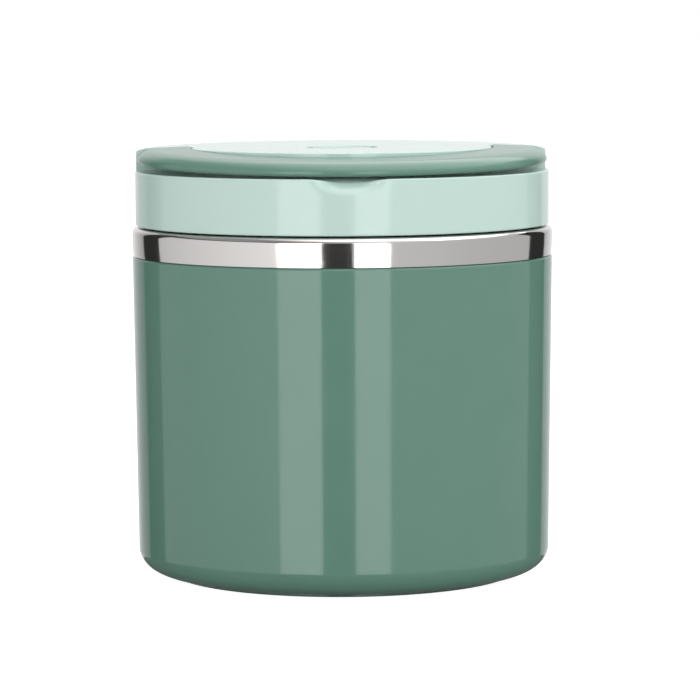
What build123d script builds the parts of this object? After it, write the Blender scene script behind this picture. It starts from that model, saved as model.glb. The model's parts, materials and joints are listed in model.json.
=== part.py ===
from build123d import *

import os
from math import asin, cos, degrees, pi, radians, sin, sqrt

# Insulated food jar: a steel pot in a foam-filled plastic jacket, closed by a screw lid
# with a half-ring handle that folds down flush with its top. Millimetres.
# The origin is the middle of the base, +Z is up and the finger notch faces -Y.

# ---------------------------------------------------------------- driving dimensions
# Clearances: touching faces, seats, the pins, loose fits, the thread, the resting handle
FIT = 0.1
SEAT = 0.15
PIN_RUNNING = 0.05
SLIP = 0.35
RIDGE_RUNNING = 0.3
REST_GAP = 0.25

# Sheet and wall thicknesses
SHEET = 0.6
JACKET_WALL = 2.4
JACKET_FLOOR = 2.2
BASE_PLATE = 1.8
SEAL_THICKNESS = 1.5
LIP_THICKNESS = 0.7
GASKET_THICKNESS = 1.2
LINER_WALL = 1.5
LID_WALL = 2.0
LID_PLATE = 1.8
PLATEAU_PLATE = 2.0

# Jacket (outer plastic wall): its top sets the other radii and heights
JACKET_TOP_R = 60.95
JACKET_DRAFT = 1.1
JACKET_FOOT_R = JACKET_TOP_R - JACKET_DRAFT
JACKET_TOP_Z = 93.0
JACKET_EDGE = 0.45
CORNER_WIDTH = 8.6
CORNER_HEIGHT = 7.0

# Base cover and the jacket's floor that it snaps into
BASE_STEP = 0.75
BASE_R = JACKET_FOOT_R - CORNER_WIDTH - BASE_STEP
FOOT_HEIGHT = 0.9
BASE_RIM = 2.6
BASE_RIM_WIDTH = 6.0
BASE_RECESS = 1.3
FOOT_EDGE = 0.5
FLOOR_LEDGE = 3.5
FLOOR_HOLE_R = BASE_R - FLOOR_LEDGE

# Steel collar and the jacket's tongue inside it
COLLAR_PROUD = 0.05
COLLAR_R = JACKET_TOP_R + COLLAR_PROUD
SKIRT_STEP = 0.2
COLLAR_SKIRT_R = JACKET_TOP_R - SKIRT_STEP
COLLAR_HEIGHT = 8.4
COLLAR_TOP_Z = JACKET_TOP_Z + COLLAR_HEIGHT
SHOULDER_WIDTH = 2.4
SHOULDER_HEIGHT = 2.5
NECK_HEIGHT = 10.6
NECK_TOP_Z = COLLAR_TOP_Z + NECK_HEIGHT
NECK_ROOT = 1.2
TONGUE_R = COLLAR_SKIRT_R - SHEET - FIT
TONGUE_HEIGHT = COLLAR_HEIGHT - SHEET - SEAL_THICKNESS - FIT

# Screw thread: starts, lead per turn and ridge section
THREAD_STARTS = 4
THREAD_LEAD = 16.0
THREAD_RISE = 3.6
THREAD_Z = COLLAR_TOP_Z + THREAD_RISE
THREAD_DEPTH = 1.0
RIDGE_BASE = 1.9
RIDGE_CREST = 0.9
RIDGE_ROOT = 0.25
NECK_RIDGE_ARC = 84.0
LID_RIDGE_ARC = 60.0
LID_RIDGE_DROP = (RIDGE_BASE + RIDGE_CREST) / 2 + FIT

# Lid cover
LID_STEP = 1.0
LID_R = COLLAR_R - LID_STEP
LID_GAP = 0.4
LEDGE_EDGE = 0.5
HANDLE_SEAT_WIDTH = 16.5
PLATEAU_R = LID_R - HANDLE_SEAT_WIDTH
PLATEAU_RISE = 6.5
PLATEAU_EDGE = 0.7
REAR_CROWN_WIDTH = 8.7
REAR_CROWN_HEIGHT = 2.3

# Neck and inner pot: the lid's wall, liner and thread stand outside them
NECK_R = LID_R - LID_WALL - SEAT - LINER_WALL - SLIP - THREAD_DEPTH
POT_GAP = 0.8
POT_R = NECK_R - 2 * SHEET - POT_GAP
POT_BED = 5.9
POT_FLOOR_Z = BASE_RIM + FIT + JACKET_FLOOR + POT_BED
POT_CORNER = 12.0
POT_PANEL_STEP = 20.0
POT_PANEL_R = POT_R - POT_PANEL_STEP
POT_PANEL_RISE = 0.8
LIP_EDGE = 0.3

# Finger notch in the front edge of the lid, with a thickened wall behind its slope
NOTCH_WIDTH = 23.0
NOTCH_FLOOR = 8.0
NOTCH_DEPTH = 3.8
NOTCH_REACH = 4.2
NOTCH_SLOPE = NOTCH_DEPTH / NOTCH_REACH
NOTCH_WALL = 1.0
NOTCH_BACK = NOTCH_DEPTH - NOTCH_SLOPE * LID_WALL + NOTCH_WALL * sqrt(1 + NOTCH_SLOPE**2)
NOTCH_ROUND = 4.0

# Lid liner and gasket, stacked on the pot's lip under the lid's ledge
LINER_STACK = SEAT + GASKET_THICKNESS + FIT / 2 + LINER_WALL + FIT
LEDGE_Z = NECK_TOP_Z + LIP_THICKNESS + LINER_STACK + LID_PLATE
PLATEAU_Z = LEDGE_Z + PLATEAU_RISE
LINER_CHAMFER = NOTCH_BACK - LID_PLATE - FIT + REST_GAP
PLUG_R = POT_R - 2 * SLIP
PLUG_DEPTH = 6.0
GASKET_LAP = 0.6
GASKET_R = NECK_R + GASKET_LAP
GASKET_EDGE = 0.3

# Handle pins
PIN_R = 1.2
PIN_COVER = 0.5
PIVOT_Z = PLATEAU_Z - PIN_COVER - PIN_R
PIN_LENGTH = 15.0
PIN_BOSS_R = 2.7
PIN_BOSS_LENGTH = 7.0

# Handle and the rear wall that its heels turn in front of
HANDLE_GAP = 0.5
HANDLE_IN_R = PLATEAU_R + HANDLE_GAP
HANDLE_STEP = 0.6
HANDLE_OUT_R = LID_R - HANDLE_STEP
HANDLE_ABOVE = 2.75
HANDLE_BELOW = 2.2
HANDLE_CROWN_WIDTH = REAR_CROWN_WIDTH
HANDLE_CROWN_HEIGHT = 3.3
HANDLE_EDGE = 0.6
HEEL_CLEAR = 0.5
HANDLE_HEEL = PIVOT_Z - LEDGE_Z - HEEL_CLEAR
HEEL_TOP_EDGE = 0.3
HEEL_LOWER_EDGE = 1.8
HEEL_GAP = 1.1
REAR_WALL_Y = HANDLE_HEEL + HEEL_GAP

# Pockets under the handle
CORE_WALL_IN = 2.4
CORE_IN_R = HANDLE_IN_R + CORE_WALL_IN
CORE_WALL_OUT = 3.0
CORE_OUT_R = HANDLE_OUT_R - CORE_WALL_OUT
CORE_DEPTH = 2.4
CORE_ARC = 132.0
CORE_CELLS = 9
CORE_RIB = 1.6

# Vent plug, the lid's dish round it and the liner's tube below it
VENT_CAP_R = 8.6
VENT_CAP_THICKNESS = 1.5
VENT_FINGER_GAP = 1.8
VENT_DISH_R = VENT_CAP_R + VENT_FINGER_GAP
VENT_DISH_DEPTH = 1.9
VENT_BOSS_LAP = 2.6
VENT_BOSS_R = VENT_DISH_R + VENT_BOSS_LAP
VENT_BOSS_DROP = 2.0
VENT_STEM_R = 3.6
VENT_HEAD_LAP = 1.0
VENT_HEAD_R = VENT_STEM_R + VENT_HEAD_LAP
VENT_HEAD_HEIGHT = 1.9
VENT_SEAT_LAP = 1.1
VENT_HOLE_R = VENT_STEM_R - VENT_SEAT_LAP
VENT_TUBE_WALL = 1.2
VENT_TUBE_R = VENT_HEAD_R + 2 * SLIP + VENT_TUBE_WALL

# ---------------------------------------------------------------- worked-out places
quarter = degrees(pi / 2)

floor_bottom_z = BASE_RIM + FIT
floor_top_z = floor_bottom_z + JACKET_FLOOR
jacket_in_foot_r = JACKET_FOOT_R - JACKET_WALL
corner_top_z = FOOT_HEIGHT + CORNER_HEIGHT
base_seat_r = BASE_R + 2 * FIT
tongue_top_z = JACKET_TOP_Z + TONGUE_HEIGHT
tongue_in_r = JACKET_TOP_R - JACKET_WALL

shoulder_r = COLLAR_R - SHOULDER_WIDTH
shoulder_z = COLLAR_TOP_Z - SHOULDER_HEIGHT
neck_in_r = NECK_R - SHEET
pot_out_r = POT_R + SHEET
lip_top_z = NECK_TOP_Z + LIP_THICKNESS

lid_bottom_z = COLLAR_TOP_Z + LID_GAP
lid_in_r = LID_R - LID_WALL
ledge_under_z = LEDGE_Z - LID_PLATE
plateau_under_z = PLATEAU_Z - PLATEAU_PLATE
plateau_in_r = PLATEAU_R - LID_WALL
rear_face_top_z = PLATEAU_Z - REAR_CROWN_HEIGHT

liner_top_z = ledge_under_z - FIT
ceiling_z = liner_top_z - LINER_WALL
liner_out_r = lid_in_r - SEAT
liner_in_r = liner_out_r - LINER_WALL
liner_bottom_z = lid_bottom_z + LID_GAP
plug_bottom_z = ceiling_z - PLUG_DEPTH
plug_floor_z = plug_bottom_z + LINER_WALL
plug_in_r = PLUG_R - LINER_WALL
gasket_bottom_z = ceiling_z - GASKET_THICKNESS - FIT / 2

vent_dish_z = PLATEAU_Z - VENT_DISH_DEPTH
vent_boss_z = plateau_under_z - VENT_BOSS_DROP
vent_guide_r = VENT_STEM_R + SLIP
vent_tube_in_r = VENT_TUBE_R - VENT_TUBE_WALL
vent_tube_top_z = vent_boss_z - FIT

handle_drop = PIVOT_Z - HANDLE_BELOW - LEDGE_Z - REST_GAP
handle_tilt = degrees(asin(handle_drop / HANDLE_OUT_R))


def round_corners(sketch, radius, *places):
    """Fillets the corners of a section that lie at the given places."""
    for place in places:
        fillet(sketch.vertices().sort_by_distance(place)[0], radius=radius)


# ---------------------------------------------------------------- jacket
def jacket_inside_r(height):
    """Inner radius of the jacket's drafted wall at a height."""
    share = (height - corner_top_z) / (JACKET_TOP_Z - corner_top_z)
    return jacket_in_foot_r + share * (tongue_in_r - jacket_in_foot_r)


with BuildPart() as outer_shell:
    with BuildSketch(Plane.XZ):
        with BuildLine():
            corner = EllipticalCenterArc(
                (JACKET_FOOT_R - CORNER_WIDTH, corner_top_z),
                CORNER_WIDTH,
                CORNER_HEIGHT,
                start_angle=-quarter,
                arc_size=quarter,
            )
            Polyline(
                corner @ 1,
                (JACKET_TOP_R, JACKET_TOP_Z - JACKET_EDGE),
                (JACKET_TOP_R - JACKET_EDGE, JACKET_TOP_Z),
                (TONGUE_R, JACKET_TOP_Z),
                (TONGUE_R, tongue_top_z - JACKET_EDGE),
                (TONGUE_R - JACKET_EDGE, tongue_top_z),
                (tongue_in_r, tongue_top_z),
                (tongue_in_r, JACKET_TOP_Z),
                (jacket_inside_r(corner_top_z), corner_top_z),
                (jacket_in_foot_r - CORNER_WIDTH / 2, floor_top_z),
                (FLOOR_HOLE_R, floor_top_z),
                (FLOOR_HOLE_R, floor_bottom_z),
                (base_seat_r, floor_bottom_z),
                (base_seat_r, FOOT_HEIGHT),
                corner @ 0,
            )
        make_face()
    revolve(axis=Axis.Z)

with BuildPart() as base_cover:
    base_hole_r = FLOOR_HOLE_R - 2 * FIT
    rim_in_r = BASE_R - BASE_RIM_WIDTH
    plate_top_z = BASE_RECESS + BASE_PLATE
    with BuildSketch(Plane.XZ) as base_section:
        with BuildLine():
            Polyline(
                (0, BASE_RECESS),
                (rim_in_r - BASE_RECESS, BASE_RECESS),
                (rim_in_r, 0),
                (BASE_R, 0),
                (BASE_R, BASE_RIM),
                (base_hole_r, BASE_RIM),
                (base_hole_r, floor_top_z - FIT),
                (base_hole_r - BASE_PLATE, floor_top_z - FIT),
                (base_hole_r - BASE_PLATE, plate_top_z),
                (0, plate_top_z),
                close=True,
            )
        make_face()
        round_corners(base_section, FOOT_EDGE, (BASE_R, 0), (rim_in_r, 0))
    revolve(axis=Axis.Z)

# ---------------------------------------------------------------- insulation
foam_split_z = POT_FLOOR_Z + POT_CORNER
foam_in_r = pot_out_r + FIT

with BuildPart() as foam_base:
    with BuildSketch(Plane.XZ):
        with BuildLine():
            bed = CenterArc((pot_out_r - POT_CORNER, foam_split_z), POT_CORNER + FIT, -quarter, quarter)
            Polyline(
                bed @ 1,
                (jacket_inside_r(foam_split_z) - FIT, foam_split_z),
                (jacket_in_foot_r - FIT, corner_top_z + FIT),
                (jacket_in_foot_r - CORNER_WIDTH / 2 - FIT, floor_top_z + FIT),
                (0, floor_top_z + FIT),
                (0, POT_FLOOR_Z - FIT),
                bed @ 0,
            )
        make_face()
    revolve(axis=Axis.Z)

with BuildPart() as foam_sleeve:
    with BuildSketch(Plane.XZ):
        with BuildLine():
            Polyline(
                (foam_in_r, foam_split_z + FIT),
                (jacket_inside_r(foam_split_z) - FIT, foam_split_z + FIT),
                (tongue_in_r - FIT, JACKET_TOP_Z),
                (tongue_in_r - FIT, tongue_top_z),
                (foam_in_r, tongue_top_z),
                close=True,
            )
        make_face()
    revolve(axis=Axis.Z)


# ---------------------------------------------------------------- thread ridges
def thread_ridges(root_r, crest_r, start_z, start_angle, arc):
    """Screw ridges, one per start, from the wall at root_r to crest_r."""
    inward = crest_r < root_r
    foot_r = root_r + RIDGE_ROOT if inward else root_r - RIDGE_ROOT
    with BuildPart() as ridges:
        with BuildLine():
            helix = Helix(THREAD_LEAD, THREAD_LEAD * arc / 360, root_r)
        section_plane = Plane(origin=helix @ 0, x_dir=(1, 0, 0), z_dir=helix % 0)
        with BuildSketch(section_plane):
            with BuildLine():
                Polyline(
                    (foot_r - root_r, -RIDGE_BASE / 2),
                    (foot_r - root_r, RIDGE_BASE / 2),
                    (crest_r - root_r, RIDGE_CREST / 2),
                    (crest_r - root_r, -RIDGE_CREST / 2),
                    close=True,
                )
            make_face()
        sweep(path=helix, is_frenet=True)
    ridge = ridges.part.rotate(Axis.Z, start_angle).translate((0, 0, start_z))
    step = 360 / THREAD_STARTS
    return [ridge.rotate(Axis.Z, step * start) for start in range(THREAD_STARTS)]


# ---------------------------------------------------------------- steel collar and pot
neck_ridges = thread_ridges(NECK_R, NECK_R + THREAD_DEPTH, THREAD_Z, 0, NECK_RIDGE_ARC)

with BuildPart() as steel_collar:
    with BuildSketch(Plane.XZ):
        with BuildLine():
            skirt_z = JACKET_TOP_Z + SEAT
            root_z = COLLAR_TOP_Z + NECK_ROOT
            outer_bend = EllipticalCenterArc(
                (shoulder_r, shoulder_z), SHOULDER_WIDTH, SHOULDER_HEIGHT, arc_size=quarter
            )
            outer_root = CenterArc((NECK_R + NECK_ROOT, root_z), NECK_ROOT, -quarter, -quarter)
            Line(outer_bend @ 1, outer_root @ 0)
            inner_root = CenterArc((NECK_R + NECK_ROOT, root_z), NECK_ROOT + SHEET, 2 * quarter, quarter)
            Polyline(outer_root @ 1, (NECK_R, NECK_TOP_Z), (neck_in_r, NECK_TOP_Z), inner_root @ 0)
            inner_bend = EllipticalCenterArc(
                (shoulder_r, shoulder_z),
                SHOULDER_WIDTH - SHEET,
                SHOULDER_HEIGHT - SHEET,
                arc_size=quarter,
            )
            Line(inner_root @ 1, inner_bend @ 1)
            Polyline(
                inner_bend @ 0,
                (COLLAR_SKIRT_R - SHEET, skirt_z),
                (COLLAR_SKIRT_R, skirt_z),
                outer_bend @ 0,
            )
        make_face()
    revolve(axis=Axis.Z)
    add(neck_ridges)

with BuildPart() as collar_seal:
    with BuildSketch(Plane.XZ):
        with Locations(((tongue_in_r + TONGUE_R) / 2, tongue_top_z + (FIT + SEAL_THICKNESS) / 2)):
            Rectangle(TONGUE_R - tongue_in_r, SEAL_THICKNESS)
        with Locations((shoulder_r, shoulder_z)):
            bend_gap = SHEET + FIT / 2
            Ellipse(SHOULDER_WIDTH - bend_gap, SHOULDER_HEIGHT - bend_gap, mode=Mode.INTERSECT)
    revolve(axis=Axis.Z)

with BuildPart() as inner_pot:
    with BuildSketch(Plane.XZ) as pot_section:
        with BuildLine():
            bend_x = pot_out_r - POT_CORNER
            outer_corner = CenterArc((bend_x, foam_split_z), POT_CORNER, -quarter, quarter)
            inner_corner = CenterArc((bend_x, foam_split_z), POT_CORNER - SHEET, -quarter, quarter)
            Polyline(
                outer_corner @ 1,
                (pot_out_r, NECK_TOP_Z),
                (NECK_R, NECK_TOP_Z),
                (NECK_R, lip_top_z),
                (POT_R, lip_top_z),
                inner_corner @ 1,
            )
            Polyline(
                inner_corner @ 0,
                (POT_PANEL_R + POT_PANEL_RISE, POT_FLOOR_Z + SHEET),
                (POT_PANEL_R, POT_FLOOR_Z + SHEET + POT_PANEL_RISE),
                (0, POT_FLOOR_Z + SHEET + POT_PANEL_RISE),
                (0, POT_FLOOR_Z + POT_PANEL_RISE),
                (POT_PANEL_R, POT_FLOOR_Z + POT_PANEL_RISE),
                (POT_PANEL_R + POT_PANEL_RISE, POT_FLOOR_Z),
                outer_corner @ 0,
            )
        make_face()
        round_corners(pot_section, LIP_EDGE, (NECK_R, lip_top_z), (POT_R, lip_top_z))
    revolve(axis=Axis.Z)

# ---------------------------------------------------------------- lid cover
with BuildPart() as rear_shoulder:
    with BuildSketch(Plane.XZ):
        with BuildLine():
            crown = EllipticalCenterArc(
                (LID_R - REAR_CROWN_WIDTH, rear_face_top_z),
                REAR_CROWN_WIDTH,
                REAR_CROWN_HEIGHT,
                arc_size=quarter,
            )
            Polyline(
                crown @ 1,
                (plateau_in_r, PLATEAU_Z),
                (plateau_in_r, ledge_under_z),
                (LID_R, ledge_under_z),
                crown @ 0,
            )
        make_face()
    revolve(axis=Axis.Z)
    split(bisect_by=Plane.XZ.offset(-REAR_WALL_Y), keep=Keep.BOTTOM)

with BuildPart() as rear_hollow:
    with BuildSketch(Plane.XZ):
        with BuildLine():
            hollow_crown = EllipticalCenterArc(
                (LID_R - REAR_CROWN_WIDTH, rear_face_top_z),
                REAR_CROWN_WIDTH - LID_WALL,
                REAR_CROWN_HEIGHT - PLATEAU_PLATE,
                arc_size=quarter,
            )
            Polyline(
                hollow_crown @ 1,
                (plateau_in_r - LID_WALL, plateau_under_z),
                (plateau_in_r - LID_WALL, ledge_under_z),
                (lid_in_r, ledge_under_z),
                hollow_crown @ 0,
            )
        make_face()
    revolve(axis=Axis.Z)
    split(bisect_by=Plane.XZ.offset(-REAR_WALL_Y - LID_WALL), keep=Keep.BOTTOM)

with BuildPart() as notch_cutter:
    for reach in (-NOTCH_REACH, NOTCH_REACH):
        notch_floor_z = LEDGE_Z - NOTCH_DEPTH * (1 - reach / NOTCH_REACH)
        brim = NOTCH_WIDTH - NOTCH_FLOOR / 2
        with BuildSketch(Plane.XZ.offset(LID_R - reach)) as notch_section:
            with BuildLine():
                Polyline(
                    (-brim, LEDGE_Z + NOTCH_DEPTH),
                    (-NOTCH_FLOOR / 2, notch_floor_z),
                    (NOTCH_FLOOR / 2, notch_floor_z),
                    (brim, LEDGE_Z + NOTCH_DEPTH),
                    close=True,
                )
            make_face()
            floor_ends = [(side * NOTCH_FLOOR / 2, notch_floor_z) for side in (-1, 1)]
            round_corners(notch_section, NOTCH_ROUND, *floor_ends)
    loft()

with BuildPart() as lid_cover:
    with BuildSketch(Plane.XZ) as cover_section:
        with BuildLine():
            Polyline(
                (lid_in_r, lid_bottom_z),
                (LID_R, lid_bottom_z),
                (LID_R, LEDGE_Z),
                (PLATEAU_R, LEDGE_Z),
                (PLATEAU_R, PLATEAU_Z),
                (0, PLATEAU_Z),
                (0, plateau_under_z),
                (plateau_in_r, plateau_under_z),
                (plateau_in_r, ledge_under_z),
                (lid_in_r, ledge_under_z),
                close=True,
            )
        make_face()
        round_corners(cover_section, LEDGE_EDGE, (LID_R, lid_bottom_z), (LID_R, LEDGE_Z))
        round_corners(cover_section, PLATEAU_EDGE, (PLATEAU_R, PLATEAU_Z))
    revolve(axis=Axis.Z)
    add(rear_shoulder.part)
    add(rear_hollow.part, mode=Mode.SUBTRACT)
    # Thickening behind the finger notch, parallel to its slope
    with BuildSketch(Plane.YZ):
        under_z = LEDGE_Z - NOTCH_BACK
        under_y = -lid_in_r + (ledge_under_z - under_z) / NOTCH_SLOPE
        with BuildLine():
            Polyline(
                (-lid_in_r, ledge_under_z),
                (-lid_in_r, under_z),
                (under_y, ledge_under_z),
                (under_y, LEDGE_Z),
                (-lid_in_r, LEDGE_Z),
                close=True,
            )
        make_face()
    extrude(amount=NOTCH_WIDTH / 2 + NOTCH_WALL, both=True)
    add(notch_cutter.part, mode=Mode.SUBTRACT)
    # Pin bosses under the plateau and the bores for the pressed-in pins
    for side in (-1, 1):
        boss_start = side * (plateau_in_r + LID_WALL / 2)
        boss_height = plateau_under_z - PIVOT_Z + PIN_BOSS_R
        with BuildSketch(Plane.YZ.offset(boss_start)):
            with Locations((0, plateau_under_z - boss_height / 2)):
                Rectangle(2 * PIN_BOSS_R, boss_height)
        extrude(amount=-side * PIN_BOSS_LENGTH)
        with BuildSketch(Plane.YZ.offset(side * PLATEAU_R)):
            with Locations((0, PIVOT_Z)):
                Circle(PIN_R)
        extrude(amount=-side * (PIN_BOSS_LENGTH + LID_WALL), mode=Mode.SUBTRACT)
    # Vent boss, finger dish and guide hole in the middle
    with BuildSketch(Plane.XY.offset(vent_boss_z)):
        Circle(VENT_BOSS_R)
    extrude(amount=VENT_BOSS_DROP)
    with Locations((0, 0, PLATEAU_Z)):
        CounterBoreHole(vent_guide_r, VENT_DISH_R, VENT_DISH_DEPTH)

# ---------------------------------------------------------------- lid liner, foam, gasket
lid_ridges = thread_ridges(
    liner_in_r,
    NECK_R + RIDGE_RUNNING,
    THREAD_Z - LID_RIDGE_DROP + THREAD_LEAD * (NECK_RIDGE_ARC - LID_RIDGE_ARC) / 720,
    (NECK_RIDGE_ARC - LID_RIDGE_ARC) / 2,
    LID_RIDGE_ARC,
)

with BuildPart() as lid_liner:
    with BuildSketch(Plane.XZ) as liner_section:
        with BuildLine():
            Polyline(
                (liner_in_r, liner_bottom_z),
                (liner_out_r, liner_bottom_z),
                (liner_out_r, liner_top_z - LINER_CHAMFER),
                (liner_out_r - LINER_CHAMFER, liner_top_z),
                (plug_in_r, liner_top_z),
                (plug_in_r, plug_floor_z),
                (VENT_TUBE_R, plug_floor_z),
                (VENT_TUBE_R, vent_tube_top_z),
                (vent_tube_in_r, vent_tube_top_z),
                (vent_tube_in_r, plug_floor_z),
                (VENT_HOLE_R, plug_floor_z),
                (VENT_HOLE_R, plug_bottom_z),
                (PLUG_R, plug_bottom_z),
                (PLUG_R, ceiling_z),
                (liner_in_r, ceiling_z),
                close=True,
            )
        make_face()
        round_corners(liner_section, LINER_WALL / 2, (PLUG_R, plug_bottom_z))
    revolve(axis=Axis.Z)
    add(lid_ridges)

with BuildPart() as lid_foam:
    foam_bottom_z = plug_floor_z + FIT
    boss_foot_z = PIVOT_Z - PIN_BOSS_R - FIT
    boss_end_r = plateau_in_r + LID_WALL / 2 - PIN_BOSS_LENGTH - FIT
    with BuildSketch(Plane.XZ):
        with BuildLine():
            Polyline(
                (VENT_TUBE_R + FIT, foam_bottom_z),
                (plug_in_r - FIT, foam_bottom_z),
                (plug_in_r - FIT, liner_top_z),
                (plateau_in_r - FIT, liner_top_z),
                (plateau_in_r - FIT, boss_foot_z),
                (boss_end_r, boss_foot_z),
                (boss_end_r, plateau_under_z - FIT),
                (VENT_BOSS_R + FIT, plateau_under_z - FIT),
                (VENT_BOSS_R + FIT, vent_tube_top_z),
                (VENT_TUBE_R + FIT, vent_tube_top_z),
                close=True,
            )
        make_face()
    revolve(axis=Axis.Z)

with BuildPart() as gasket:
    with BuildSketch(Plane.XZ) as gasket_section:
        gasket_in_r = PLUG_R + FIT
        middle = ((gasket_in_r + GASKET_R) / 2, gasket_bottom_z + GASKET_THICKNESS / 2)
        with Locations(middle):
            Rectangle(GASKET_R - gasket_in_r, GASKET_THICKNESS)
        fillet(gasket_section.vertices(), radius=GASKET_EDGE)
    revolve(axis=Axis.Z)


# ---------------------------------------------------------------- handle pins
def pivot_pin(side):
    """Steel pin, pressed in the lid and running in the handle's end."""
    with BuildPart() as pin:
        with BuildSketch(Plane.YZ.offset(side * pin_start)):
            with Locations((0, PIVOT_Z)):
                Circle(PIN_R)
        extrude(amount=side * PIN_LENGTH)
        chamfer(pin.edges().filter_by(GeomType.CIRCLE), length=PIN_R / 6)
    return pin.part


pin_start = plateau_in_r + LID_WALL / 2 - PIN_BOSS_LENGTH + SLIP
pivot_pin_left = pivot_pin(-1)
pivot_pin_right = pivot_pin(1)

# ---------------------------------------------------------------- handle
# Modelled in its own frame, whose XY plane holds the hinge axis and tilts down to the front
tilt = radians(handle_tilt)
hinge_point = (0, 0, PIVOT_Z)
handle_up = (0, -sin(tilt), cos(tilt))
handle_back = (0, cos(tilt), sin(tilt))
handle_axis = Axis(hinge_point, handle_up)
radial_plane = Plane(hinge_point, x_dir=(-1, 0, 0), z_dir=handle_back)
side_plane = Plane(hinge_point, x_dir=handle_back, z_dir=(1, 0, 0))

with BuildSketch() as handle_section:
    with BuildLine():
        handle_crown = EllipticalCenterArc(
            (HANDLE_OUT_R - HANDLE_CROWN_WIDTH, HANDLE_ABOVE - HANDLE_CROWN_HEIGHT),
            HANDLE_CROWN_WIDTH,
            HANDLE_CROWN_HEIGHT,
            arc_size=quarter,
        )
        Polyline(
            handle_crown @ 1,
            (HANDLE_IN_R, HANDLE_ABOVE),
            (HANDLE_IN_R, -HANDLE_BELOW),
            (HANDLE_OUT_R, -HANDLE_BELOW),
            handle_crown @ 0,
        )
    make_face()
    inner_edges = [(HANDLE_IN_R, HANDLE_ABOVE), (HANDLE_IN_R, -HANDLE_BELOW)]
    round_corners(handle_section, HANDLE_EDGE, *inner_edges, (HANDLE_OUT_R, -HANDLE_BELOW))

with BuildPart() as heels:
    with BuildSketch(radial_plane):
        add(handle_section.sketch)
        mirror(about=Plane.YZ)
    extrude(amount=HANDLE_HEEL)
    with BuildSketch(side_plane) as side_section:
        with Locations((HANDLE_HEEL / 2, (HANDLE_ABOVE - HANDLE_BELOW) / 2)):
            Rectangle(HANDLE_HEEL, HANDLE_ABOVE + HANDLE_BELOW)
        round_corners(side_section, HEEL_TOP_EDGE, (HANDLE_HEEL, HANDLE_ABOVE))
        round_corners(side_section, HEEL_LOWER_EDGE, (HANDLE_HEEL, -HANDLE_BELOW))
    extrude(amount=LID_R, both=True, mode=Mode.INTERSECT)

with BuildPart() as core_cell:
    rib_arc = degrees(2 * CORE_RIB / (CORE_IN_R + CORE_OUT_R))
    cell_arc = (CORE_ARC - (CORE_CELLS - 1) * rib_arc) / CORE_CELLS
    with BuildSketch(radial_plane):
        with Locations(((CORE_IN_R + CORE_OUT_R) / 2, CORE_DEPTH / 2 - HANDLE_BELOW)):
            Rectangle(CORE_OUT_R - CORE_IN_R, CORE_DEPTH)
    revolve(axis=handle_axis, revolution_arc=cell_arc)

with BuildPart() as handle:
    with BuildSketch(radial_plane):
        add(handle_section.sketch)
    revolve(axis=handle_axis, revolution_arc=2 * quarter)
    add(heels.part)
    for cell in range(CORE_CELLS):
        turn = quarter - CORE_ARC / 2 + cell * (cell_arc + rib_arc)
        add(core_cell.part.rotate(handle_axis, turn), mode=Mode.SUBTRACT)
    for side in (-1, 1):
        with BuildSketch(Plane.YZ.offset(side * (PLATEAU_R - FIT))):
            with Locations((0, PIVOT_Z)):
                Circle(PIN_R + PIN_RUNNING)
        bore_depth = pin_start + PIN_LENGTH + SLIP - PLATEAU_R + FIT
        extrude(amount=side * bore_depth, mode=Mode.SUBTRACT)

# ---------------------------------------------------------------- vent plug
with BuildPart() as vent_plug:
    cap_under_z = vent_dish_z + 2 * FIT
    cap_top_z = cap_under_z + VENT_CAP_THICKNESS
    head_z = plug_floor_z + FIT
    with BuildSketch(Plane.XZ) as vent_section:
        with BuildLine():
            Polyline(
                (0, plug_bottom_z + FIT),
                (VENT_HOLE_R - SLIP, plug_bottom_z + FIT),
                (VENT_HOLE_R - SLIP, head_z),
                (VENT_HEAD_R, head_z),
                (VENT_STEM_R, head_z + VENT_HEAD_HEIGHT),
                (VENT_STEM_R, cap_under_z),
                (VENT_CAP_R, cap_under_z),
                (VENT_CAP_R, cap_top_z),
                (0, cap_top_z),
                close=True,
            )
        make_face()
        round_corners(vent_section, VENT_CAP_THICKNESS / 3, (VENT_CAP_R, cap_top_z))
    revolve(axis=Axis.Z)

# ---------------------------------------------------------------- files
os.makedirs("parts", exist_ok=True)
finished = {
    "outer_shell": outer_shell.part,
    "base_cover": base_cover.part,
    "foam_base": foam_base.part,
    "foam_sleeve": foam_sleeve.part,
    "collar_seal": collar_seal.part,
    "steel_collar": steel_collar.part,
    "inner_pot": inner_pot.part,
    "lid_cover": lid_cover.part,
    "lid_liner": lid_liner.part,
    "lid_foam": lid_foam.part,
    "gasket": gasket.part,
    "pivot_pin_left": pivot_pin_left,
    "pivot_pin_right": pivot_pin_right,
    "handle": handle.part,
    "vent_plug": vent_plug.part,
}
for name, piece in finished.items():
    piece.label = name
    export_step(piece, f"parts/{name}.step")
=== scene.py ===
import json
from functools import cache
from math import asin, atan2, cos, degrees, pi, radians, sin, sqrt, tan

import bpy
from mathutils import Matrix, Vector


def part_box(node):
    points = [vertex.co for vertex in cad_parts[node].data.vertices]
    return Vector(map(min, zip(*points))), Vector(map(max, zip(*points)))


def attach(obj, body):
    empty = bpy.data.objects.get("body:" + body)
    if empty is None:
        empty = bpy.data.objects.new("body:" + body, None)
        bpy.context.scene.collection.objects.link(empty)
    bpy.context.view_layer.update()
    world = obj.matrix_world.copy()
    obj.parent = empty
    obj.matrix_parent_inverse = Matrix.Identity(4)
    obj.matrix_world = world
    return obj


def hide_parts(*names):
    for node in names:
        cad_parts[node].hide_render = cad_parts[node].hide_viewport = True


bl_info = {
    "name": "Insulated Food Jar",
    "version": (1, 0, 0),
    "blender": (4, 5, 0),
    "location": "3D View > Sidebar > Food Jar",
    "description": "Builds the looks of an insulated food jar round its packed model",
    "category": "Object",
}

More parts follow.
